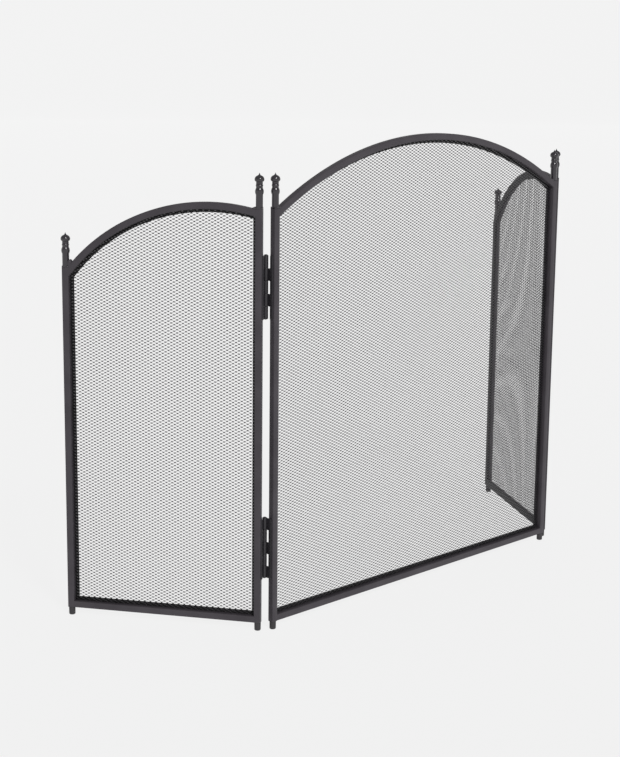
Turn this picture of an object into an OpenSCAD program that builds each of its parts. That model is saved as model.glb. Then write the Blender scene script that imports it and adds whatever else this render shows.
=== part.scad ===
// Three-fold arched fireplace screen: a wide centre panel with a narrower wing on each side.
// The origin lies on the floor, at the middle of the standing screen's footprint.
// +Z is up, the centre panel runs along X and its front faces -Y.

/* [Frame tube] */
// Side of the square frame tube
tube = 9.5; // [8:0.1:12]
// Wall of the frame tube
tube_wall = 1.2; // [0.8:0.1:1.8]

/* [Centre panel] */
// Outer width of the centre panel
centre_w = 634; // [520:1:780]
// Height of the tube ends of the four middle posts
post_top = 604; // [480:1:760]
// Rise of the centre arch's top above the tube ends beside it
centre_rise = 88; // [60:1:120]
// Height of the underside of the bottom rails above the floor
rail_z = 12; // [8:0.1:20]

/* [Wings] */
// Outer width of each wing
wing_w = 289; // [230:1:350]
// Drop from the middle posts' tube ends to the outer posts' tube ends
outer_drop = 91.5; // [60:0.5:150]
// Distance of the wing arch's highest point from the wing's hinge edge
wing_crest_x = 73.6; // [55:0.1:85]
// How far below the hinge post's tube end the wing arch meets it
arch_dip = 0.9; // [0:0.1:3]
// How far above the outer post's tube end the wing arch meets it
arch_lift = 1.9; // [0:0.1:2.4]
// Angle that each wing stands folded back from the centre panel's line
fold = 57.7; // [0:0.1:120]

/* [Mesh] */
// Thickness of the room that the raised mesh takes
mesh_t = 3.2; // [1:0.1:5]
// Gap between the mesh edge and the frame tube
mesh_gap = 0.2; // [0.1:0.1:0.5]
// Thickness of the flat strips behind the mesh
strip_t = 1.8; // [1:0.1:2.5]
// Width of strip that shows inside the frame opening
strip_reveal = 5; // [3:0.5:10]
// Width of strip that lies on the back of the tube
strip_lap = 7; // [4:0.5:7.5]

/* [Finials and feet] */
// Height of a finial above its tube end
finial_h = 48.5; // [46:0.5:60]
// Diameter of the finial's stem
stem_d = 9.8; // [8:0.1:11]
// Diameter of the bulge above the stem
bulge_d = 12; // [11:0.1:13]
// Diameter of the ring bead below the dome
bead_d = 10.2; // [9.6:0.1:12]
// Diameter of the neck that carries the dome
neck_d = 9.3; // [8:0.1:9.5]
// Diameter of the dome at its widest
dome_d = 13.5; // [12.6:0.1:13.8]
// Height of the drawn-out point on top of the dome
tip_h = 3.5; // [3:0.1:4.5]
// Diameter of a foot's rounded end
foot_d = 9.2; // [6:0.1:10]
// Length of the spigots that plug into the tubes
spigot_l = 14; // [8:1:25]
// Gap all round a spigot in its tube
spigot_gap = 0.05; // [0.02:0.01:0.1]

/* [Hinges] */
// Gap between neighbouring posts when the panels stand in line
post_gap = 4.4; // [4:0.1:8]
// Distance of the hinge pin's axis behind the back of the tubes
pin_back = 5.9; // [5.5:0.1:10]
// Length of a hinge
hinge_l = 88.5; // [60:0.5:120]
// Drop from the middle posts' tube ends to the middle of the upper hinges
hinge_drop = 109; // [60:1:180]
// Rise from the bottom rails' underside to the middle of the lower hinges
hinge_rise = 108.5; // [70:0.5:180]
// Thickness of a hinge leaf
leaf_t = 1.6; // [1.2:0.1:1.9]
// Width of a leaf that lies on the side of its post
leaf_lap = 6.6; // [5:0.1:8]
// How far a leaf's notches for the other leaf's knuckles reach over the side of its post
notch_lap = 1.5; // [0:0.1:3]
// Outer diameter of the hinge knuckles
barrel_d = 7; // [6:0.1:9]
// Diameter of the hinge pin
pin_d = 3.8; // [3:0.1:4.5]
// Gap all round the pin in the knuckles
pin_gap = 0.05; // [0.02:0.01:0.1]
// Gap between neighbouring knuckles, and between a leaf and the knuckles it clears
knuckle_gap = 0.4; // [0.3:0.1:0.8]

/* [Hidden] */

frame_black = "#454447";
mesh_black = "#3a393c";
strip_black = "#2f2f32";
hinge_black = "#2b2b2e";

smooth = 64;
arc_smooth = 720;
eps = 0.01;

// The pin axis, measured from the middle of the tubes' depth
axis_y = tube / 2 + pin_back;
axis_x = centre_w / 2 + post_gap / 2;

// The footprint in Y runs from the centre domes' fronts to the outer domes' backs
outer_post_u = post_gap / 2 + wing_w - tube / 2;
outer_post_y = axis_y + outer_post_u * sin(fold) - axis_y * cos(fold);
shift_y = -outer_post_y / 2;

outer_top = post_top - outer_drop;
hinge_upper_z = post_top - hinge_drop;
hinge_lower_z = rail_z + hinge_rise;

// Centre arch: a circular arc over the tube ends, through the crest
centre_half = centre_w / 2 - tube;
centre_r = (centre_half * centre_half + centre_rise * centre_rise) / (2 * centre_rise);
centre_arc = [0, post_top + centre_rise - centre_r, centre_r];

// Wing arch: a circular arc from post to post, with its top above wing_crest_x
wing_near = wing_crest_x - tube;
wing_far = wing_w - tube - wing_crest_x;
near_z = post_top - arch_dip;
far_z = outer_top + arch_lift;
wing_arc_z = (pow(wing_near, 2) - pow(wing_far, 2) + pow(near_z, 2) - pow(far_z, 2))
    / (2 * (near_z - far_z));
wing_r = norm([wing_near, near_z - wing_arc_z]);
wing_arc = [wing_crest_x, wing_arc_z, wing_r];

// Left and right edges of the centre panel and of a wing, each in its own panel
centre_span = [-centre_w / 2, centre_w / 2];
wing_span = [0, wing_w];

opening_z = rail_z + tube;
knuckle_l = (hinge_l - 4 * knuckle_gap) / 5;
spigot_d = tube - 2 * tube_wall - 2 * spigot_gap;

// Heights up a finial, from the tube end
bulge_z = 23.4;
bulge_arc = 9;
bead_z = 31.6;
bead_arc = 2.1;
dome_z = finial_h - 8.8;
dome_under = 3.4;
// The dome's side is a convex arc up to its shoulder, and a hollow arc draws it out to the tip
dome_arc = 5.6;
tip_arc = 4;
tip_r = 0.4;
shoulder_z = finial_h - tip_h;
shoulder_r = dome_d / 2 - dome_arc + sqrt(pow(dome_arc, 2) - pow(shoulder_z - dome_z, 2));
tip_run = [tip_r - shoulder_r, tip_h];
tip_side = sqrt(pow(tip_arc, 2) - pow(norm(tip_run) / 2, 2)) / norm(tip_run);
tip_centre = [shoulder_r, shoulder_z] + tip_run / 2 + tip_side * [tip_run[1], -tip_run[0]];
collar_h = 2.4;
// The chamfering cone's radius at the tube end, just past the tube's corners, over the tube's side
collar_flare = 0.75;

// ---------- placing ----------

module on_floor() translate([0, shift_y, 0]) children();

module wing_place() {
    translate([axis_x, axis_y, 0]) rotate(fold) translate([post_gap / 2, -axis_y, 0]) children();
}

module left_wing() on_floor() mirror([1, 0, 0]) wing_place() children();

module right_wing() on_floor() wing_place() children();

// A hinge's own frame: the pin's axis is Z, and +X points from the centre panel to the wing
module left_hinge(z) on_floor() mirror([1, 0, 0]) translate([axis_x, axis_y, z]) children();

module right_hinge(z) on_floor() translate([axis_x, axis_y, z]) children();

// ---------- shapes shared by the panels ----------

module post(x, top) {
    translate([x - tube / 2, -tube / 2, rail_z]) difference() {
        cube([tube, tube, top - rail_z]);
        translate([tube_wall, tube_wall, -eps])
            cube([tube - 2 * tube_wall, tube - 2 * tube_wall, top - rail_z + 2 * eps]);
    }
}

// A flat shape drawn in X and Z, from depth y to depth y + t
module plate(y, t) translate([0, y + t, 0]) rotate([90, 0, 0]) linear_extrude(t) children();

module disc(arc, inset) translate([arc[0], arc[1]]) circle(arc[2] - inset, $fn = arc_smooth);

// The space below an arch: a disc above the arc's centre, straight sides below it
module under_arc(arc, inset) {
    disc(arc, inset);
    translate([arc[0] - arc[2] + inset, 0]) square([2 * (arc[2] - inset), arc[1]]);
}

// A band that follows the arch, starting inset below its top, between a panel's two edges
module arch_band(span, arc, inset, width, edge) {
    intersection() {
        difference() {
            disc(arc, inset);
            disc(arc, inset + width);
        }
        translate([span[0] + edge, arc[1]]) square([span[1] - span[0] - 2 * edge, arc[2]]);
    }
}

module arch_rail(span, arc) {
    bore = tube - 2 * tube_wall;
    difference() {
        plate(-tube / 2, tube) arch_band(span, arc, 0, tube, tube);
        plate(-bore / 2, bore) arch_band(span, arc, tube_wall, bore, tube - eps);
    }
}

module bottom_rail(span) {
    run = span[1] - span[0] - 2 * tube;
    translate([span[0] + tube, -tube / 2, rail_z]) difference() {
        cube([run, tube, tube]);
        translate([-eps, tube_wall, tube_wall])
            cube([run + 2 * eps, tube - 2 * tube_wall, tube - 2 * tube_wall]);
    }
}

// The opening inside a panel's tubes, made larger by grow
module opening(span, arc, grow) {
    intersection() {
        under_arc(arc, tube - grow);
        translate([span[0] + tube - grow, opening_z - grow])
            square([span[1] - span[0] - 2 * (tube - grow), arc[1] + arc[2]]);
    }
}

module mesh_sheet(span, arc) plate(tube / 2 - mesh_t, mesh_t) opening(span, arc, -mesh_gap);

module strip_arch(span, arc) {
    edge = tube - strip_lap;
    plate(tube / 2, strip_t) arch_band(span, arc, edge, strip_lap + strip_reveal, edge);
}

module strip_bottom(span) {
    x0 = span[0] + tube - strip_lap;
    x1 = span[1] - tube + strip_lap;
    translate([x0, tube / 2, opening_z - strip_lap]) cube([x1 - x0, strip_t, strip_lap + strip_reveal]);
}

// A side strip from inner edge x0 to outer edge x1, up to the arch strip
module strip_side(x0, x1, arc) {
    z0 = opening_z + strip_reveal;
    plate(tube / 2, strip_t) intersection() {
        translate([x0, z0]) square([x1 - x0, arc[1] + arc[2]]);
        under_arc(arc, tube + strip_reveal);
    }
}

module finial_outline() {
    intersection() {
        union() {
            square([stem_d / 2, bulge_z]);
            translate([bulge_d / 2 - bulge_arc, bulge_z]) circle(bulge_arc, $fn = smooth);
            translate([0, bulge_z]) square([neck_d / 2, dome_z - bulge_z]);
            translate([bead_d / 2 - bead_arc, bead_z]) circle(bead_arc, $fn = smooth);
            dome_outline();
        }
        square([dome_d, finial_h]);
    }
}

// The dome is round below its widest line, and drawn out to a point above its shoulder
module dome_outline() {
    half = dome_d / 2;
    intersection() {
        translate([half - dome_arc, dome_z]) circle(dome_arc, $fn = 2 * smooth);
        translate([0, dome_z]) square([half, shoulder_z - dome_z]);
    }
    translate([0, dome_z]) square([shoulder_r, shoulder_z - dome_z]);
    difference() {
        translate([0, shoulder_z]) square([shoulder_r, tip_h]);
        translate(tip_centre) circle(tip_arc, $fn = 2 * smooth);
    }
    intersection() {
        translate([half - dome_under, dome_z]) circle(dome_under, $fn = smooth);
        translate([0, dome_z - dome_under]) square([half, dome_under]);
    }
    translate([0, dome_z - dome_under]) square([half - dome_under, dome_under]);
}

module finial(x, top) {
    translate([x, 0, top]) {
        rotate_extrude($fn = smooth) finial_outline();
        // the square tube's corners run out into the round stem
        intersection() {
            translate([-tube / 2, -tube / 2, 0]) cube([tube, tube, collar_h]);
            cylinder(h = collar_h, r1 = collar_flare * tube, r2 = stem_d / 2, $fn = smooth);
        }
        translate([0, 0, -spigot_l]) cylinder(h = spigot_l, d = spigot_d, $fn = smooth);
    }
}

module foot(x) {
    round_r = 1.6;
    translate([x, 0, 0]) {
        rotate_extrude($fn = smooth) {
            polygon([[0, round_r], [foot_d / 2, round_r], [tube / 2, rail_z], [0, rail_z]]);
            square([foot_d / 2 - round_r, round_r]);
            intersection() {
                translate([foot_d / 2 - round_r, round_r]) circle(round_r, $fn = smooth);
                translate([0, 0]) square([foot_d / 2, round_r]);
            }
        }
        translate([0, 0, rail_z]) cylinder(h = spigot_l, d = spigot_d, $fn = smooth);
    }
}

// ---------- hinges ----------

// One of the five knuckles, counted from the bottom
module knuckle(i, d) {
    translate([0, 0, -hinge_l / 2 + i * (knuckle_l + knuckle_gap)])
        cylinder(h = knuckle_l, d = d, $fn = smooth);
}

// The leaf on the +X side of the pin, with its knuckles listed in own
module leaf(own, others) {
    lap_y = -(pin_back + leaf_lap);
    difference() {
        union() {
            translate([post_gap / 2 - leaf_t, lap_y, -hinge_l / 2]) cube([leaf_t, -lap_y, hinge_l]);
            for (i = own) knuckle(i, barrel_d);
        }
        translate([0, 0, -hinge_l / 2 - eps])
            cylinder(h = hinge_l + 2 * eps, d = pin_d + 2 * pin_gap, $fn = smooth);
        for (i = others) notch(i);
    }
}

// The notch in a leaf's plate that lets another leaf's knuckle through
module notch(i) {
    z = -hinge_l / 2 + i * (knuckle_l + knuckle_gap) - knuckle_gap;
    translate([post_gap / 2 - leaf_t - eps, -(pin_back + notch_lap), z])
        cube([leaf_t + 2 * eps, pin_back + notch_lap + eps, knuckle_l + 2 * knuckle_gap]);
}

// Upper hinges carry three knuckles on the wing, lower ones are turned over
module wing_leaf(own, others) rotate(fold) leaf(own, others);

module centre_leaf(own, others) mirror([1, 0, 0]) leaf(own, others);

module pin() {
    head_h = 0.9;
    head_d = (pin_d + barrel_d) / 2;
    translate([0, 0, -hinge_l / 2 - knuckle_gap])
        cylinder(h = hinge_l + 2 * knuckle_gap, d = pin_d, $fn = smooth);
    for (side = [0, 1]) mirror([0, 0, side])
        translate([0, 0, hinge_l / 2 + knuckle_gap]) cylinder(h = head_h, d = head_d, $fn = smooth);
}

outer_knuckles = [0, 2, 4];
inner_knuckles = [1, 3];

// ---------- the centre panel ----------

centre_x = centre_w / 2 - tube / 2;

module centre_left_post() color(frame_black) on_floor() post(-centre_x, post_top);
module centre_right_post() color(frame_black) on_floor() post(centre_x, post_top);
module centre_arch_rail() color(frame_black) on_floor() arch_rail(centre_span, centre_arc);
module centre_bottom_rail() color(frame_black) on_floor() bottom_rail(centre_span);
module centre_mesh() color(mesh_black) on_floor() mesh_sheet(centre_span, centre_arc);
module centre_strip_left() color(strip_black) on_floor()
    strip_side(centre_span[0] + tube - strip_lap, centre_span[0] + tube + strip_reveal, centre_arc);
module centre_strip_right() color(strip_black) on_floor()
    strip_side(centre_span[1] - tube - strip_reveal, centre_span[1] - tube + strip_lap, centre_arc);
module centre_strip_bottom() color(strip_black) on_floor() strip_bottom(centre_span);
module centre_strip_arch() color(strip_black) on_floor() strip_arch(centre_span, centre_arc);
module centre_left_finial() color(frame_black) on_floor() finial(-centre_x, post_top);
module centre_right_finial() color(frame_black) on_floor() finial(centre_x, post_top);
module centre_left_foot() color(hinge_black) on_floor() foot(-centre_x);
module centre_right_foot() color(hinge_black) on_floor() foot(centre_x);

// ---------- the wings, drawn once in line and placed on each side ----------

hinge_x = tube / 2;
outer_x = wing_w - tube / 2;

module hinge_post() color(frame_black) post(hinge_x, post_top);
module outer_post() color(frame_black) post(outer_x, outer_top);
module wing_arch() color(frame_black) arch_rail(wing_span, wing_arc);
module wing_rail() color(frame_black) bottom_rail(wing_span);
module wing_mesh() color(mesh_black) mesh_sheet(wing_span, wing_arc);
module wing_strip_hinge() color(strip_black) strip_side(tube - strip_lap, tube + strip_reveal, wing_arc);
module wing_strip_outer() color(strip_black)
    strip_side(wing_w - tube - strip_reveal, wing_w - tube + strip_lap, wing_arc);
module wing_strip_bottom() color(strip_black) strip_bottom(wing_span);
module wing_strip_arch() color(strip_black) strip_arch(wing_span, wing_arc);
module hinge_finial() color(frame_black) finial(hinge_x, post_top);
module outer_finial() color(frame_black) finial(outer_x, outer_top);
module hinge_foot() color(hinge_black) foot(hinge_x);
module outer_foot() color(hinge_black) foot(outer_x);

centre_left_post();
centre_right_post();
centre_arch_rail();
centre_bottom_rail();
centre_mesh();
centre_strip_left();
centre_strip_right();
centre_strip_bottom();
centre_strip_arch();
centre_left_finial();
centre_right_finial();
centre_left_foot();
centre_right_foot();

left_wing() hinge_post();  // left_hinge_post
left_wing() outer_post();  // left_outer_post
left_wing() wing_arch();  // left_arch_rail
left_wing() wing_rail();  // left_bottom_rail
left_wing() wing_mesh();  // left_mesh
left_wing() wing_strip_hinge();  // left_strip_hinge
left_wing() wing_strip_outer();  // left_strip_outer
left_wing() wing_strip_bottom();  // left_strip_bottom
left_wing() wing_strip_arch();  // left_strip_arch
left_wing() hinge_finial();  // left_hinge_finial
left_wing() outer_finial();  // left_outer_finial
left_wing() hinge_foot();  // left_hinge_foot
left_wing() outer_foot();  // left_outer_foot

right_wing() hinge_post();  // right_hinge_post
right_wing() outer_post();  // right_outer_post
right_wing() wing_arch();  // right_arch_rail
right_wing() wing_rail();  // right_bottom_rail
right_wing() wing_mesh();  // right_mesh
right_wing() wing_strip_hinge();  // right_strip_hinge
right_wing() wing_strip_outer();  // right_strip_outer
right_wing() wing_strip_bottom();  // right_strip_bottom
right_wing() wing_strip_arch();  // right_strip_arch
right_wing() hinge_finial();  // right_hinge_finial
right_wing() outer_finial();  // right_outer_finial
right_wing() hinge_foot();  // right_hinge_foot
right_wing() outer_foot();  // right_outer_foot

module upper_wing_leaf() color(hinge_black) wing_leaf(outer_knuckles, inner_knuckles);
module upper_centre_leaf() color(hinge_black) centre_leaf(inner_knuckles, outer_knuckles);
module lower_wing_leaf() color(hinge_black) wing_leaf(inner_knuckles, outer_knuckles);
module lower_centre_leaf() color(hinge_black) centre_leaf(outer_knuckles, inner_knuckles);
module hinge_pin() color(hinge_black) pin();

left_hinge(hinge_upper_z) upper_wing_leaf();  // left_upper_wing_leaf
left_hinge(hinge_upper_z) upper_centre_leaf();  // left_upper_centre_leaf
left_hinge(hinge_upper_z) hinge_pin();  // left_upper_pin
left_hinge(hinge_lower_z) lower_wing_leaf();  // left_lower_wing_leaf
left_hinge(hinge_lower_z) lower_centre_leaf();  // left_lower_centre_leaf
left_hinge(hinge_lower_z) hinge_pin();  // left_lower_pin
right_hinge(hinge_upper_z) upper_wing_leaf();  // right_upper_wing_leaf
right_hinge(hinge_upper_z) upper_centre_leaf();  // right_upper_centre_leaf
right_hinge(hinge_upper_z) hinge_pin();  // right_upper_pin
right_hinge(hinge_lower_z) lower_wing_leaf();  // right_lower_wing_leaf
right_hinge(hinge_lower_z) lower_centre_leaf();  // right_lower_centre_leaf
right_hinge(hinge_lower_z) hinge_pin();  // right_lower_pin
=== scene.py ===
import math

import bmesh
import bpy
from mathutils import Matrix, Vector


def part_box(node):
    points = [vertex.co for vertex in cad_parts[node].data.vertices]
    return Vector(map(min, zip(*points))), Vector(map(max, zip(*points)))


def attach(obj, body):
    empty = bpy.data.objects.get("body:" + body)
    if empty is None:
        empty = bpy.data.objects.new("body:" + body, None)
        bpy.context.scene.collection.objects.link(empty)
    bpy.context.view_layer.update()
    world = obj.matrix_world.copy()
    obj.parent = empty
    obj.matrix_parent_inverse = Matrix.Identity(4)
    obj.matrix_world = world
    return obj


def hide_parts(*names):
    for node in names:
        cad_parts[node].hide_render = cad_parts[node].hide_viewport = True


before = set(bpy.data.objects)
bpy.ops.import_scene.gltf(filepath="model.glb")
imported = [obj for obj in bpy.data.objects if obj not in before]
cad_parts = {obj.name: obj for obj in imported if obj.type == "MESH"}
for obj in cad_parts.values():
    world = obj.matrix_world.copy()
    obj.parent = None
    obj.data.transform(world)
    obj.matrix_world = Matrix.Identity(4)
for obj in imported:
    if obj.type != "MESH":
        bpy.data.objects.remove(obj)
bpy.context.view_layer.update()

MM = 0.001


# ---------------------------------------------------------------- sizes read from the frame

def centre_of(node):
    low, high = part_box(node)
    return (low + high) / 2


def top_of(node):
    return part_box(node)[1].z


POST_LOW, POST_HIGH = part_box("centre_right_post")
TUBE = POST_HIGH.x - POST_LOW.x
RAIL_Z = POST_LOW.z
POST_TOP = POST_HIGH.z
OUTER_TOP = top_of("left_outer_post")
CENTRE_CREST = top_of("centre_arch_rail")
OPENING_Z = RAIL_Z + TUBE
STRIP_LOW, STRIP_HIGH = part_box("centre_strip_bottom")
STRIP_LAP = OPENING_Z - STRIP_LOW.z
STRIP_REVEAL = STRIP_HIGH.z - OPENING_Z
STRIP_DEPTH = (TUBE / 2, TUBE / 2 + STRIP_HIGH.y - STRIP_LOW.y)
MESH_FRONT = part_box("centre_mesh")[0].y - POST_LOW.y - TUBE / 2
FINIAL_H = top_of("centre_right_finial") - POST_TOP
DOME_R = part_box("centre_right_finial")[1].x - centre_of("centre_right_finial").x

# Hinges, measured from the pin's axis
PIN = centre_of("right_upper_pin")
PIN_L = 2 * (top_of("right_upper_pin") - PIN.z)
HINGE_L = 2 * (top_of("right_upper_wing_leaf") - PIN.z)
PIN_BACK = PIN.y - POST_HIGH.y
POST_GAP = 2 * (PIN.x - POST_HIGH.x)
LEAF_REACH = PIN.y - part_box("right_upper_centre_leaf")[0].y
BARREL_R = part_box("right_upper_centre_leaf")[1].y - PIN.y

# Driving sizes that the frame's boxes don't give
WING_CREST_X = 73.6 * MM      # the wing arch's top, from the wing's hinge edge
ARCH_DIP = 0.9 * MM           # the wing arch's end below the hinge post's tube end
ARCH_LIFT = 1.9 * MM          # the wing arch's end above the outer post's tube end
TUBE_EDGE = 0.9 * MM          # corner radius of the rolled tube
LEAF_T = 1.6 * MM             # hinge leaf
LEAF_EDGE = 0.2 * MM          # its rounded edges
NOTCH_LAP = 1.5 * MM          # how far a leaf's notches reach over the side of its post
KNUCKLE_GAP = 0.4 * MM        # between neighbouring knuckles
KNUCKLE_ROOT = 2.6 * MM       # from the pin's axis to where a leaf runs into its knuckle
KNUCKLE_ROUND = 0.5 * MM      # rounded ends of a knuckle
PIN_R = 1.9 * MM              # hinge pin
PIN_GAP = 0.05 * MM           # between a pin and its bore
WELD_HALF = 3.52 * MM         # half the length of a corner weld's ripple, along the arch
WELD_OUT = 1.28 * MM          # from the side of the post to the middle of a ripple
RIPPLE_R = 1.76 * MM          # half the thickness of a ripple
WELD_H = 3.2 * MM             # how far a weld climbs the post
OUTER_WELD_H = 9 * MM         # and at the steep outer ends


# ---------------------------------------------------------------- panels

class Panel:
    """A panel's own frame: X runs from its left post to its right post, -Y is its front."""

    def __init__(self, body, left, right, arc, diamond):
        self.body = body
        a, b = centre_of(left), centre_of(right)
        self.along = Vector((b.x - a.x, b.y - a.y, 0))
        self.width = self.along.length
        self.along.normalize()
        depth = Vector((0, 0, 1)).cross(self.along)
        turn = Matrix((self.along, depth, Vector((0, 0, 1)))).transposed().to_4x4()
        self.place = Matrix.Translation((a.x, a.y, 0)) @ turn
        self.arc = arc
        self.diamond = diamond
        self.opening = (TUBE / 2, self.width - TUBE / 2)

    def arch_top(self, x, inset=0.0):
        """Height of the arch at x, inset below its top edge."""
        cx, cz, r = self.arc
        return cz + math.sqrt((r - inset) ** 2 - (x - cx) ** 2)


def centre_arc():
    half = (centre_of("centre_right_post").x - centre_of("centre_left_post").x - TUBE) / 2
    rise = CENTRE_CREST - POST_TOP
    r = (half * half + rise * rise) / (2 * rise)
    return (half + TUBE / 2, CENTRE_CREST - r, r)


def wing_arc(width, hinge_is_right):
    """Circle from post to post of a wing, with its top above WING_CREST_X."""
    near, far = WING_CREST_X - TUBE, width - WING_CREST_X
    near_z, far_z = POST_TOP - ARCH_DIP, OUTER_TOP + ARCH_LIFT
    cz = (near ** 2 - far ** 2 + near_z ** 2 - far_z ** 2) / (2 * (near_z - far_z))
    from_hinge_post = WING_CREST_X - TUBE / 2
    cx = width - from_hinge_post if hinge_is_right else from_hinge_post
    return (cx, cz, math.hypot(near, near_z - cz))


# Long and short way of a mesh diamond: the wings' sheets are drawn out a little more
CENTRE_DIAMOND = (8.95 * MM, 4.43 * MM)
WING_DIAMOND = (8.5 * MM, 4.62 * MM)
WING_W = (centre_of("left_outer_finial") - centre_of("left_hinge_finial")).xy.length

CENTRE = Panel("centre_panel", "centre_left_finial", "centre_right_finial",
               centre_arc(), CENTRE_DIAMOND)
LEFT = Panel("left_wing", "left_outer_finial", "left_hinge_finial",
             wing_arc(WING_W, True), WING_DIAMOND)
RIGHT = Panel("right_wing", "right_hinge_finial", "right_outer_finial",
              wing_arc(WING_W, False), WING_DIAMOND)
FOLD = math.atan2(RIGHT.along.y, RIGHT.along.x)


# ---------------------------------------------------------------- materials

def linear(hex_colour):
    def channel(v):
        v /= 255
        return v / 12.92 if v <= 0.04045 else ((v + 0.055) / 1.055) ** 2.4
    digits = hex_colour.lstrip("#")
    return tuple(channel(int(digits[i:i + 2], 16)) for i in (0, 2, 4)) + (1.0,)


def add(tree, kind, settings=None, inputs=None):
    """Adds a node. An input is a value, or the socket that feeds it."""
    made = tree.nodes.new("ShaderNode" + kind)
    for name, value in (settings or {}).items():
        setattr(made, name, value)
    for name, value in (inputs or {}).items():
        if isinstance(value, bpy.types.NodeSocket):
            tree.links.new(value, made.inputs[name])
        else:
            made.inputs[name].default_value = value
    return made


def coated_steel(name, base, worn, roughness, grain_mm, relief_mm, gloss=0.5):
    """Painted or powder-coated steel: a pebbled film, a little uneven in colour and gloss."""
    cloud_mm, speck_mm = 40, 1.9
    material = bpy.data.materials.new(name)
    material.use_nodes = True
    tree = material.node_tree
    tree.nodes.clear()
    place = add(tree, "TexCoord").outputs["Object"]
    cloud = add(tree, "TexNoise", inputs={
        "Vector": place, "Scale": 1 / (cloud_mm * MM), "Detail": 3.0})
    pebble = add(tree, "TexNoise", inputs={
        "Vector": place, "Scale": 1 / (grain_mm * MM), "Detail": 2.0})
    speck = add(tree, "TexVoronoi", inputs={"Vector": place, "Scale": 1 / (speck_mm * MM)})
    spread = add(tree, "MapRange", inputs={
        "Value": cloud.outputs["Fac"], "From Min": 0.35, "From Max": 0.65})
    tint = add(tree, "Mix", {"data_type": "RGBA"}, {"Factor": spread.outputs["Result"]})
    tint.inputs["A"].default_value = linear(base)
    tint.inputs["B"].default_value = linear(worn)
    dust = add(tree, "MapRange", inputs={
        "Value": speck.outputs["Distance"], "From Min": 0.0, "From Max": 0.9,
        "To Min": roughness - 0.05, "To Max": roughness + 0.07})
    relief = add(tree, "Bump", inputs={
        "Strength": 0.7, "Distance": relief_mm * MM, "Height": pebble.outputs["Fac"]})
    shader = add(tree, "BsdfPrincipled", inputs={
        "Base Color": tint.outputs["Result"], "Roughness": dust.outputs["Result"],
        "Normal": relief.outputs["Normal"], "IOR": 1.5, "Metallic": 0.0,
        "Specular IOR Level": gloss})
    out = add(tree, "OutputMaterial")
    tree.links.new(shader.outputs["BSDF"], out.inputs["Surface"])
    return material


# Satin black powder coat, sprayed dry and baked: broad soft highlights and a fine orange peel.
# Its grain is drawn at 1.1 mm, coarser than the real 0.3 mm, so that it shows
POWDER_COAT = coated_steel("satin_black_powder_coat", "#353136", "#3d393e", 0.42, 1.1, 0.03, 0.35)
# The same coat run thicker over turned steel: tight wet highlights on every ring
TURNED_COAT = coated_steel("gloss_black_coat_turned_steel", "#1f1b21", "#262228", 0.2, 1.6, 0.01, 0.7)
# Thin black paint on slit and stretched sheet: greyer where the twisted strands face the light
MESH_PAINT = coated_steel("black_paint_expanded_steel", "#252226", "#2d2a2e", 0.3, 0.9, 0.01, 0.9)
# Dull black paint on flat bar, coloured a shade darker than the tube as painted shade: the bars sit
# in shadow behind the mesh, and that shadow is painted into their colour
STRIP_PAINT_SHADE_DARKENED = coated_steel("dull_black_paint_flat_bar_painted_shade", "#161617", "#1e1e20", 0.6, 1.0, 0.03, 0.25)
# Black enamel on rolled steel: dark, with a clear stripe of light along the barrel
HINGE_ENAMEL = coated_steel("black_enamel_rolled_steel", "#242226", "#2b292d", 0.33, 1.4, 0.02, 0.5)
# The tube's coat on the foot plugs, rubbed dull by the floor
FOOT_COAT = coated_steel("rubbed_black_coat", "#2b292b", "#353335", 0.5, 1.0, 0.03, 0.35)


# ---------------------------------------------------------------- shaping

def finish_piece(bm, name, body, material, place, replaces=(), smooth_angle=35):
    """Turns a bmesh into a finished piece that rides on a body."""
    bmesh.ops.transform(bm, matrix=place, verts=bm.verts)
    if place.determinant() < 0:
        bmesh.ops.reverse_faces(bm, faces=bm.faces)
    mesh = bpy.data.meshes.new(name)
    bm.to_mesh(mesh)
    bm.free()
    mesh.materials.append(material)
    for face in mesh.polygons:
        face.use_smooth = True
    mesh.set_sharp_from_angle(angle=math.radians(smooth_angle))
    piece = bpy.data.objects.new(name, mesh)
    bpy.context.scene.collection.objects.link(piece)
    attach(piece, body)
    if replaces:
        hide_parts(*replaces)


def merge_into(bm, part):
    """Adds one bmesh to another as a shell of its own."""
    carrier = bpy.data.meshes.new("carrier")
    part.to_mesh(carrier)
    part.free()
    bm.from_mesh(carrier)
    bpy.data.meshes.remove(carrier)


def everything(bm):
    return bm.verts[:] + bm.edges[:] + bm.faces[:]


def block(bm, low, high):
    """Adds a box between two corners."""
    low, high = Vector(low), Vector(high)
    made = bmesh.ops.create_cube(bm, size=1.0)["verts"]
    bmesh.ops.scale(bm, vec=high - low, verts=made)
    bmesh.ops.translate(bm, vec=(low + high) / 2, verts=made)


def round_edges(bm, edges, radius, segments=3):
    bmesh.ops.bevel(bm, geom=list(edges), offset=radius, offset_type="OFFSET", segments=segments,
                    profile=0.5, affect="EDGES", material=-1, clamp_overlap=True)


def along_axis(edge, axis):
    run = (edge.verts[1].co - edge.verts[0].co).normalized()
    return abs(run[axis]) > 0.99


def lathe(outline, steps=48, closed=False):
    """Spins an outline of (radius, height) points round Z into a closed solid."""
    bm = bmesh.new()
    verts = [bm.verts.new((r, 0, z)) for r, z in outline]
    ends = verts[1:] + verts[:1] if closed else verts[1:]
    edges = [bm.edges.new(pair) for pair in zip(verts, ends)]
    bmesh.ops.spin(bm, geom=verts + edges, cent=(0, 0, 0), axis=(0, 0, 1),
                   angle=math.tau, steps=steps, use_merge=True)
    bmesh.ops.remove_doubles(bm, verts=bm.verts, dist=0.005 * MM)
    bmesh.ops.recalc_face_normals(bm, faces=bm.faces)
    return bm


def arc_points(cx, cz, r, start, end, steps):
    """Points on a circle in (radius, height), from one angle to another in degrees."""
    turn = [math.radians(start + (end - start) * i / steps) for i in range(steps + 1)]
    return [(cx + r * math.cos(a), cz + r * math.sin(a)) for a in turn]


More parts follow.
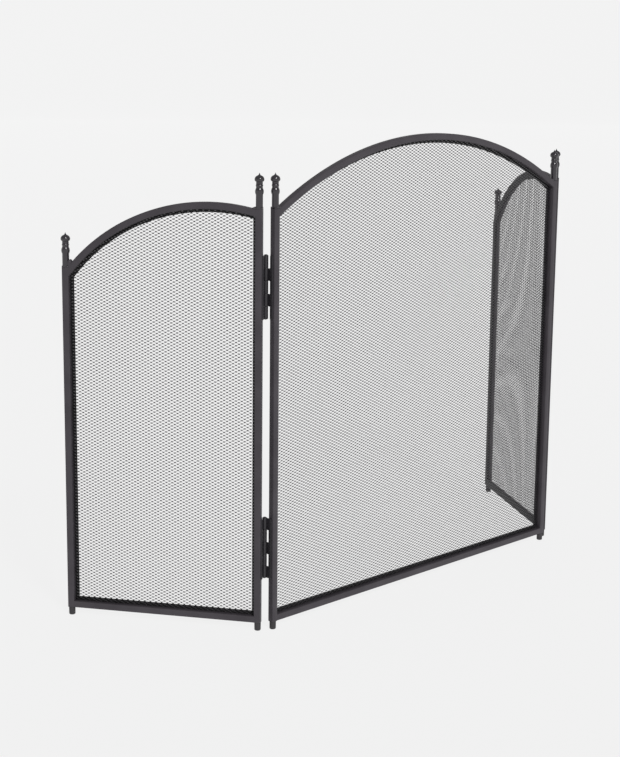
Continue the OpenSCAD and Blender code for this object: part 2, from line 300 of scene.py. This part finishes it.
def cut(bm, point, normal):
    """Cuts off what lies beyond a plane and closes the cut."""
    bmesh.ops.bisect_plane(bm, geom=everything(bm), plane_co=point, plane_no=normal,
                           clear_outer=True)
    bmesh.ops.holes_fill(bm, edges=[e for e in bm.edges if e.is_boundary])


def arch_band(panel, inset, width, depth, x_ends, edge):
    """A bar that follows the arch: its rounded section spun about the arch's centre."""
    steps = 72
    cx, cz, r = panel.arc
    spare = 1.5 * width / r
    start, end = (math.asin((x - cx) / (r - inset - width / 2)) for x in x_ends)
    bm = bmesh.new()
    block(bm, (cx - width, depth[0], cz + r - inset - width), (cx, depth[1], cz + r - inset))
    round_edges(bm, [e for e in bm.edges if along_axis(e, 0)], edge)
    bmesh.ops.delete(bm, geom=[f for f in bm.faces if f.normal.x < 0.99], context="FACES")
    bmesh.ops.rotate(bm, cent=(cx, 0, cz), matrix=Matrix.Rotation(start - spare, 3, "Y"),
                     verts=bm.verts)
    bmesh.ops.spin(bm, geom=everything(bm), cent=(cx, 0, cz), axis=(0, 1, 0),
                   angle=end - start + 2 * spare, steps=steps, use_merge=False)
    bmesh.ops.recalc_face_normals(bm, faces=bm.faces)
    cut(bm, (x_ends[0], 0, 0), (-1, 0, 0))
    cut(bm, (x_ends[1], 0, 0), (1, 0, 0))
    return bm


# ---------------------------------------------------------------- frame tubes and welds

def make_post(panel, node, x, top):
    bm = bmesh.new()
    block(bm, (x - TUBE / 2, -TUBE / 2, RAIL_Z), (x + TUBE / 2, TUBE / 2, top))
    round_edges(bm, [e for e in bm.edges if along_axis(e, 2)], TUBE_EDGE)
    finish_piece(bm, node + "_tube", panel.body, POWDER_COAT, panel.place, [node])


def rail_ends(panel):
    """The rails run on as far as the flat of the posts, so that the joint closes."""
    return panel.opening[0] - TUBE_EDGE, panel.opening[1] + TUBE_EDGE


def make_bottom_rail(panel, node):
    low, high = rail_ends(panel)
    bm = bmesh.new()
    block(bm, (low, -TUBE / 2, RAIL_Z), (high, TUBE / 2, OPENING_Z))
    round_edges(bm, [e for e in bm.edges if along_axis(e, 0)], TUBE_EDGE)
    finish_piece(bm, node + "_tube", panel.body, POWDER_COAT, panel.place, [node])


def make_arch_rail(panel, node):
    bm = arch_band(panel, 0, TUBE, (-TUBE / 2, TUBE / 2), rail_ends(panel), TUBE_EDGE)
    finish_piece(bm, node + "_tube", panel.body, POWDER_COAT, panel.place, [node])


def make_weld(panel, name, x, side, fill_h):
    """A rippled fillet that fills the corner between an arch's top and its post to fill_h."""
    ripples = 5
    step = (TUBE - 2 * RIPPLE_R) / (ripples - 1)
    corner_z = panel.arch_top(x)
    bm = bmesh.new()
    for i in range(ripples):
        made = bmesh.ops.create_icosphere(bm, subdivisions=3, radius=1)["verts"]
        bmesh.ops.scale(bm, vec=(WELD_HALF, RIPPLE_R, 0.6 * fill_h), verts=made)
        bmesh.ops.translate(bm, verts=made, vec=(
            x + side * WELD_OUT, -TUBE / 2 + RIPPLE_R + i * step, corner_z + 0.4 * fill_h))
    finish_piece(bm, name, panel.body, POWDER_COAT, panel.place)


# ---------------------------------------------------------------- strips behind the mesh

STRIP_EDGE = 0.3 * MM


def make_strip(panel, node, low, high, arch_cut=False):
    """A flat bar on the back of the frame; a side bar's top follows the arch bar."""
    bm = bmesh.new()
    block(bm, (low[0], STRIP_DEPTH[0], low[1]), (high[0], STRIP_DEPTH[1], high[1]))
    if arch_cut:
        cx, cz = panel.arc[:2]
        middle = (low[0] + high[0]) / 2
        top = panel.arch_top(middle, TUBE + STRIP_REVEAL)
        cut(bm, (middle, 0, top), (middle - cx, 0, top - cz))
    round_edges(bm, bm.edges, STRIP_EDGE, 2)
    finish_piece(bm, node + "_bar", panel.body, STRIP_PAINT_SHADE_DARKENED, panel.place, [node])


def make_strips(panel, prefix, left, right):
    low, high = panel.opening
    foot, head = OPENING_Z + STRIP_REVEAL, panel.arc[1] + panel.arc[2]
    make_strip(panel, f"{prefix}_strip_bottom", (low - STRIP_LAP, OPENING_Z - STRIP_LAP),
               (high + STRIP_LAP, foot))
    make_strip(panel, f"{prefix}_strip_{left}", (low - STRIP_LAP, foot),
               (low + STRIP_REVEAL, head), arch_cut=True)
    make_strip(panel, f"{prefix}_strip_{right}", (high - STRIP_REVEAL, foot),
               (high + STRIP_LAP, head), arch_cut=True)
    arch = f"{prefix}_strip_arch"
    bm = arch_band(panel, TUBE - STRIP_LAP, STRIP_LAP + STRIP_REVEAL, STRIP_DEPTH,
                   (low - STRIP_LAP, high + STRIP_LAP), STRIP_EDGE)
    finish_piece(bm, arch + "_bar", panel.body, STRIP_PAINT_SHADE_DARKENED, panel.place, [arch])


# ---------------------------------------------------------------- expanded mesh

STRAND_W = 0.88 * MM          # width of a slit strand
STRAND_T = 0.25 * MM          # thickness of the sheet
BOND_LEAN = 10                # a strand's lean from upright where two are joined, in degrees
LEG_LEAN = 80                 # and half way between two joints, where it has twisted over
BOND_RUN = 0.95 * MM          # half the flat run of a joint
BOND_OVERLAP = 0.03 * MM      # how far joined strands run into each other
SHEET_SUNK = 1 * MM           # first row of strands below the top of the bottom rail
MESH_TUCK = 3 * MM            # how far the sheet's edge runs on inside the tubes


def strand(panel, flip):
    """One zigzag strand across a panel at height 0: a flat run at each joint, a leg between."""
    long_way, short_way = panel.diamond
    bond, leg = math.radians(BOND_LEAN), math.radians(LEG_LEAN)
    tall = STRAND_W * math.cos(bond) + STRAND_T * math.sin(bond)
    rise = (short_way / 2 - tall) / 2 + BOND_OVERLAP
    weave = STRAND_W / 2 * math.sin(bond)
    leg_run = long_way / 4 - BOND_RUN
    way = -1 if flip else 1
    here = Vector((-long_way / 2 - BOND_RUN, way * weave, way * rise))
    bm = bmesh.new()
    bmesh.ops.create_grid(bm, x_segments=1, y_segments=1, size=0.5)
    bmesh.ops.scale(bm, vec=(STRAND_T, STRAND_W, 1), verts=bm.verts)
    bmesh.ops.rotate(bm, matrix=Matrix.Rotation(math.pi / 2, 3, "Y"), verts=bm.verts)
    bmesh.ops.rotate(bm, matrix=Matrix.Rotation(math.pi / 2 + bond, 3, "X"), verts=bm.verts)
    bmesh.ops.translate(bm, vec=here, verts=bm.verts)
    cap = head = bm.faces[:]
    flat = Vector((2 * BOND_RUN, 0, 0))
    spare_halves = 3
    for _ in range(math.ceil(2 * panel.width / long_way) + spare_halves):
        fall = Vector((leg_run, -way * weave, -way * rise))
        for move, twist in ((flat, 0), (fall, leg - bond), (fall, bond - leg)):
            made = bmesh.ops.extrude_face_region(bm, geom=head)["geom"]
            if head is not cap:
                # The end just left would stay inside the strand and spoil its shell
                bmesh.ops.delete(bm, geom=head, context="FACES_ONLY")
            head = [g for g in made if isinstance(g, bmesh.types.BMFace)]
            verts = [g for g in made if isinstance(g, bmesh.types.BMVert)]
            here = here + move
            bmesh.ops.translate(bm, vec=move, verts=verts)
            bmesh.ops.rotate(bm, cent=here, matrix=Matrix.Rotation(twist, 3, "X"), verts=verts)
        way = -way
    bmesh.ops.recalc_face_normals(bm, faces=bm.faces)
    return bm


def sheet_run(panel, z):
    """Left and right ends of the sheet at height z, tucked inside the tubes."""
    low, high = panel.opening[0] - MESH_TUCK, panel.opening[1] + MESH_TUCK
    cx, cz, r = panel.arc
    r -= TUBE - MESH_TUCK
    if z > cz:
        if z >= cz + r:
            return None
        half = math.sqrt(r * r - (z - cz) ** 2)
        low, high = max(low, cx - half), min(high, cx + half)
    return (low, high) if high - low > panel.diamond[0] / 2 else None


def make_mesh(panel, node, bands):
    """Expanded steel: rows of zigzag strands joined where they meet, in bands of equal height."""
    row_h = panel.diamond[1] / 2
    depth = MESH_FRONT + (STRAND_W + STRAND_T) / 2
    first = OPENING_Z - SHEET_SUNK
    rows = int((panel.arc[1] + panel.arc[2] - TUBE - first) / row_h) + 1
    patterns = []
    for flip in (False, True):
        pattern = bpy.data.meshes.new("strand_pattern")
        bm = strand(panel, flip)
        bm.to_mesh(pattern)
        bm.free()
        patterns.append(pattern)
    per_band = math.ceil(rows / bands)
    for band in range(bands):
        sheet = bmesh.new()
        for row in range(band * per_band, min(rows, (band + 1) * per_band)):
            z = first + row * row_h
            run = sheet_run(panel, z)
            if run is None:
                continue
            bm = bmesh.new()
            bm.from_mesh(patterns[row % 2])
            bmesh.ops.translate(bm, vec=(0, depth, z), verts=bm.verts)
            cut(bm, (run[0], 0, 0), (-1, 0, 0))
            cut(bm, (run[1], 0, 0), (1, 0, 0))
            merge_into(sheet, bm)
        finish_piece(sheet, f"{node}_strands_{band + 1}", panel.body, MESH_PAINT,
                     panel.place, [node], smooth_angle=20)
    for pattern in patterns:
        bpy.data.meshes.remove(pattern)


# ---------------------------------------------------------------- finials and feet

STEM_R = 4.9 * MM
BULGE_Z, BULGE_R, BULGE_ARC = 23.4 * MM, 6.0 * MM, 9 * MM
BEAD_Z, BEAD_R, BEAD_ARC = 31.6 * MM, 5.1 * MM, 2.1 * MM
NECK_R = 4.65 * MM
DOME_Z = FINIAL_H - 8.8 * MM
DOME_UNDER, DOME_ARC = 3.4 * MM, 5.6 * MM
TIP_H, TIP_R, TIP_ARC = 3.5 * MM, 0.4 * MM, 4 * MM
COLLAR_H, COLLAR_SUNK, COLLAR_ROUND = 2.4 * MM, 0.5 * MM, 1.6 * MM
FOOT_R, FOOT_ROUND = 4.6 * MM, 1.6 * MM
FOOT_RIM_GAP = 0.05 * MM      # a foot's rim inside the side of its tube
FOOT_CHAMFER = (0.35 * MM, 0.6 * MM)


def angle_where(radius, cx, r):
    """Angle in degrees at which a circle centred on cx reaches a radius from the axis."""
    return math.degrees(math.acos((radius - cx) / r))


def tip_points():
    """The hollow curve that draws the dome out to its point, from the shoulder upwards."""
    steps = 7
    shoulder_z = FINIAL_H - TIP_H
    shoulder_r = DOME_R - DOME_ARC + math.sqrt(DOME_ARC ** 2 - (shoulder_z - DOME_Z) ** 2)
    start, end = Vector((shoulder_r, shoulder_z)), Vector((TIP_R, FINIAL_H))
    run = end - start
    side = math.sqrt(TIP_ARC ** 2 - (run.length / 2) ** 2) / run.length
    centre = (start + end) / 2 + side * Vector((run.y, -run.x))
    first, last = (math.degrees(math.atan2(p.y - centre.y, p.x - centre.x)) % 360
                   for p in (start, end))
    return arc_points(centre.x, centre.y, TIP_ARC, first, last, steps)


def finial_outline():
    bulge_x, bead_x, dome_x = BULGE_R - BULGE_ARC, BEAD_R - BEAD_ARC, DOME_R - DOME_ARC
    shoulder = math.degrees(math.asin((FINIAL_H - TIP_H - DOME_Z) / DOME_ARC))
    bead_end = angle_where(NECK_R, bead_x, BEAD_ARC)
    points = [(0, 0), (STEM_R, 0)]
    points += arc_points(bulge_x, BULGE_Z, BULGE_ARC, -angle_where(STEM_R, bulge_x, BULGE_ARC),
                         angle_where(NECK_R, bulge_x, BULGE_ARC), 12)
    points += arc_points(bead_x, BEAD_Z, BEAD_ARC, -bead_end, bead_end, 8)
    points += arc_points(DOME_R - DOME_UNDER, DOME_Z, DOME_UNDER, -68, 0, 8)
    points += arc_points(dome_x, DOME_Z, DOME_ARC, 0, shoulder, 10)[1:-1]
    return points + tip_points() + [(0, FINIAL_H)]


def make_finial(panel, node, x, top):
    bm = lathe(finial_outline())
    collar = bmesh.new()
    block(collar, (-TUBE / 2, -TUBE / 2, -COLLAR_SUNK), (TUBE / 2, TUBE / 2, COLLAR_H))
    round_edges(collar, [e for e in collar.edges if along_axis(e, 2)], TUBE_EDGE)
    rim = [e for e in collar.edges if min(v.co.z for v in e.verts) > COLLAR_H / 2]
    round_edges(collar, rim, COLLAR_ROUND, 3)
    merge_into(bm, collar)
    bmesh.ops.translate(bm, vec=(x, 0, top), verts=bm.verts)
    finish_piece(bm, node + "_turned", panel.body, TURNED_COAT, panel.place, [node])


def make_foot(panel, node, x):
    outline = [(0, 0)] + arc_points(FOOT_R - FOOT_ROUND, FOOT_ROUND, FOOT_ROUND, -90, 0, 6)
    rim_r = TUBE / 2 - FOOT_RIM_GAP
    outline += [(rim_r, RAIL_Z - FOOT_CHAMFER[1]), (rim_r - FOOT_CHAMFER[0], RAIL_Z), (0, RAIL_Z)]
    bm = lathe(outline, 32)
    bmesh.ops.translate(bm, vec=(x, 0, 0), verts=bm.verts)
    finish_piece(bm, node + "_plug", panel.body, FOOT_COAT, panel.place, [node])


# ---------------------------------------------------------------- hinges

KNUCKLES = 5
KNUCKLE_L = (HINGE_L - (KNUCKLES - 1) * KNUCKLE_GAP) / KNUCKLES


def knuckle_ends(i):
    low = -HINGE_L / 2 + i * (KNUCKLE_L + KNUCKLE_GAP)
    return low, low + KNUCKLE_L


def leaf_solid(own):
    """The leaf on the +X side of the pin: a notched plate and the rolled knuckles in own."""
    reach = {True: -KNUCKLE_ROOT, False: -(PIN_BACK + NOTCH_LAP)}
    outline = [(-LEAF_REACH, -HINGE_L / 2)]
    for i in range(KNUCKLES):
        low, high = knuckle_ends(i)
        spare = 0 if i in own else KNUCKLE_GAP
        y = reach[i in own]
        outline += [(y, max(low - spare, -HINGE_L / 2)), (y, min(high + spare, HINGE_L / 2))]
    outline.append((-LEAF_REACH, HINGE_L / 2))
    bm = bmesh.new()
    plate = bm.faces.new([bm.verts.new((POST_GAP / 2 - LEAF_T, y, z)) for y, z in outline])
    made = bmesh.ops.extrude_face_region(bm, geom=[plate])["geom"]
    bmesh.ops.translate(bm, vec=(LEAF_T, 0, 0),
                        verts=[g for g in made if isinstance(g, bmesh.types.BMVert)])
    bmesh.ops.recalc_face_normals(bm, faces=bm.faces)
    round_edges(bm, bm.edges, LEAF_EDGE, 2)
    bore = PIN_R + PIN_GAP
    for i in own:
        low, high = knuckle_ends(i)
        barrel = [(bore, low)]
        round_x, round_z = BARREL_R - KNUCKLE_ROUND, KNUCKLE_ROUND
        barrel += arc_points(round_x, low + round_z, KNUCKLE_ROUND, -90, 0, 3)
        barrel += arc_points(round_x, high - round_z, KNUCKLE_ROUND, 0, 90, 3)
        merge_into(bm, lathe(barrel + [(bore, high)], 40, closed=True))
    return bm


def pin_solid():
    """A straight pin with a low domed head at each end."""
    head_h = (PIN_L - HINGE_L) / 2 - KNUCKLE_GAP
    head_r = (PIN_R + BARREL_R) / 2
    under = PIN_L / 2 - head_h
    crown_r = (head_r ** 2 + head_h ** 2) / (2 * head_h)
    rim = math.degrees(math.acos(head_r / crown_r))
    head = arc_points(0, PIN_L / 2 - crown_r, crown_r, rim, 90, 6)
    half = [(PIN_R, under)] + head[:-1] + [(0, PIN_L / 2)]
    return lathe([(r, -z) for r, z in reversed(half)] + half, 32)


def make_hinge(side, level, wing_own, centre_own):
    """side is 1 for the right hinges and -1 for the left ones, which mirror them."""
    name = f"{'right' if side > 0 else 'left'}_{level}"
    wing = name.split("_")[0] + "_wing"
    pin = centre_of(name + "_pin")
    flip = Matrix.Diagonal((-1, 1, 1, 1))
    stand = Matrix.Translation(pin) @ (Matrix.Identity(4) if side > 0 else flip)
    pieces = (
        (leaf_solid(wing_own), "wing_leaf", wing, stand @ Matrix.Rotation(FOLD, 4, "Z")),
        (leaf_solid(centre_own), "centre_leaf", "centre_panel", stand @ flip),
        (pin_solid(), "pin", "centre_panel", stand),
    )
    for bm, part, body, place in pieces:
        node = f"{name}_{part}"
        finish_piece(bm, node + "_steel", body, HINGE_ENAMEL, place, [node])


# ---------------------------------------------------------------- build

def make_panel(panel, prefix, left, right, tops, bands):
    """left and right are the posts' shares of the node names."""
    for side, x, top, inward in ((left, 0, tops[0], 1), (right, panel.width, tops[1], -1)):
        make_post(panel, f"{prefix}_{side}_post", x, top)
        make_finial(panel, f"{prefix}_{side}_finial", x, top)
        make_foot(panel, f"{prefix}_{side}_foot", x)
        make_weld(panel, f"{prefix}_{side}_weld", x + inward * TUBE / 2, inward,
                  OUTER_WELD_H if side == "outer" else WELD_H)
    make_arch_rail(panel, f"{prefix}_arch_rail")
    make_bottom_rail(panel, f"{prefix}_bottom_rail")
    make_strips(panel, prefix, left, right)
    make_mesh(panel, f"{prefix}_mesh", bands)


make_panel(CENTRE, "centre", "left", "right", (POST_TOP, POST_TOP), 6)
make_panel(LEFT, "left", "outer", "hinge", (OUTER_TOP, POST_TOP), 3)
make_panel(RIGHT, "right", "hinge", "outer", (POST_TOP, OUTER_TOP), 3)
for hinge_side in (-1, 1):
    make_hinge(hinge_side, "upper", wing_own=(0, 2, 4), centre_own=(1, 3))
    make_hinge(hinge_side, "lower", wing_own=(1, 3), centre_own=(0, 2, 4))


# ---------------------------------------------------------------- studio

def make_floor():
    """A pale floor that curves up all round, far outside the screen, and gives a little light."""
    flat_r, wall_r, wall_h = 11, 13, 3.5
    bend = wall_r - flat_r
    outline = [(0, 0), (flat_r / 2, 0)] + arc_points(flat_r, bend, bend, -90, 0, 12)
    bm = lathe(outline + [(wall_r, wall_h)], 96)
    mesh = bpy.data.meshes.new("studio_floor")
    bm.to_mesh(mesh)
    bm.free()
    for face in mesh.polygons:
        face.use_smooth = True
    material = bpy.data.materials.new("pale_studio_paper")
    material.use_nodes = True
    tree = material.node_tree
    tree.nodes.clear()
    shader = add(tree, "BsdfPrincipled", inputs={
        "Base Color": linear("#3a3a3a"), "Roughness": 0.9, "Specular IOR Level": 0.1,
        "Emission Color": (1, 1, 1, 1), "Emission Strength": 0.84})
    out = add(tree, "OutputMaterial")
    tree.links.new(shader.outputs["BSDF"], out.inputs["Surface"])
    mesh.materials.append(material)
    floor = bpy.data.objects.new("studio_floor", mesh)
    bpy.context.scene.collection.objects.link(floor)


def make_key():
    """A soft key from the front and a little left of the centre panel's face."""
    azimuth, height = math.radians(250), math.radians(38)
    toward = Vector((math.cos(azimuth) * math.cos(height), math.sin(azimuth) * math.cos(height),
                     math.sin(height)))
    data = bpy.data.lights.new("key", "SUN")
    data.energy = 1.9
    data.angle = math.radians(11)
    light = bpy.data.objects.new("key", data)
    light.rotation_euler = (-toward).to_track_quat("-Z", "Y").to_euler()
    bpy.context.scene.collection.objects.link(light)


def make_camera():
    """Stands to the left of the screen, a little above it, turned towards its middle."""
    data = bpy.data.cameras.new("camera")
    long_side, focal_length = 757, 1744
    data.sensor_width = 36
    data.lens = data.sensor_width * focal_length / long_side
    data.clip_end = 60
    camera = bpy.data.objects.new("camera", data)
    heading, downward, roll = (math.radians(a) for a in (-45.37, 12.02, 0.61))
    place = (-1.9661, -1.8261, 0.8727)
    turn = (Matrix.Rotation(heading, 4, "Z") @ Matrix.Rotation(math.pi / 2 - downward, 4, "X")
            @ Matrix.Rotation(roll, 4, "Z"))
    camera.matrix_world = Matrix.Translation(place) @ turn
    bpy.context.scene.collection.objects.link(camera)
    bpy.context.scene.camera = camera


def make_room(brightness):
    world = bpy.data.worlds.new("soft_room")
    world.use_nodes = True
    background = world.node_tree.nodes["Background"]
    background.inputs["Color"].default_value = (1, 1, 1, 1)
    background.inputs["Strength"].default_value = brightness
    bpy.context.scene.world = world


make_floor()
make_room(0.38)
make_key()
make_camera()
bpy.context.scene.view_settings.view_transform = "Standard"
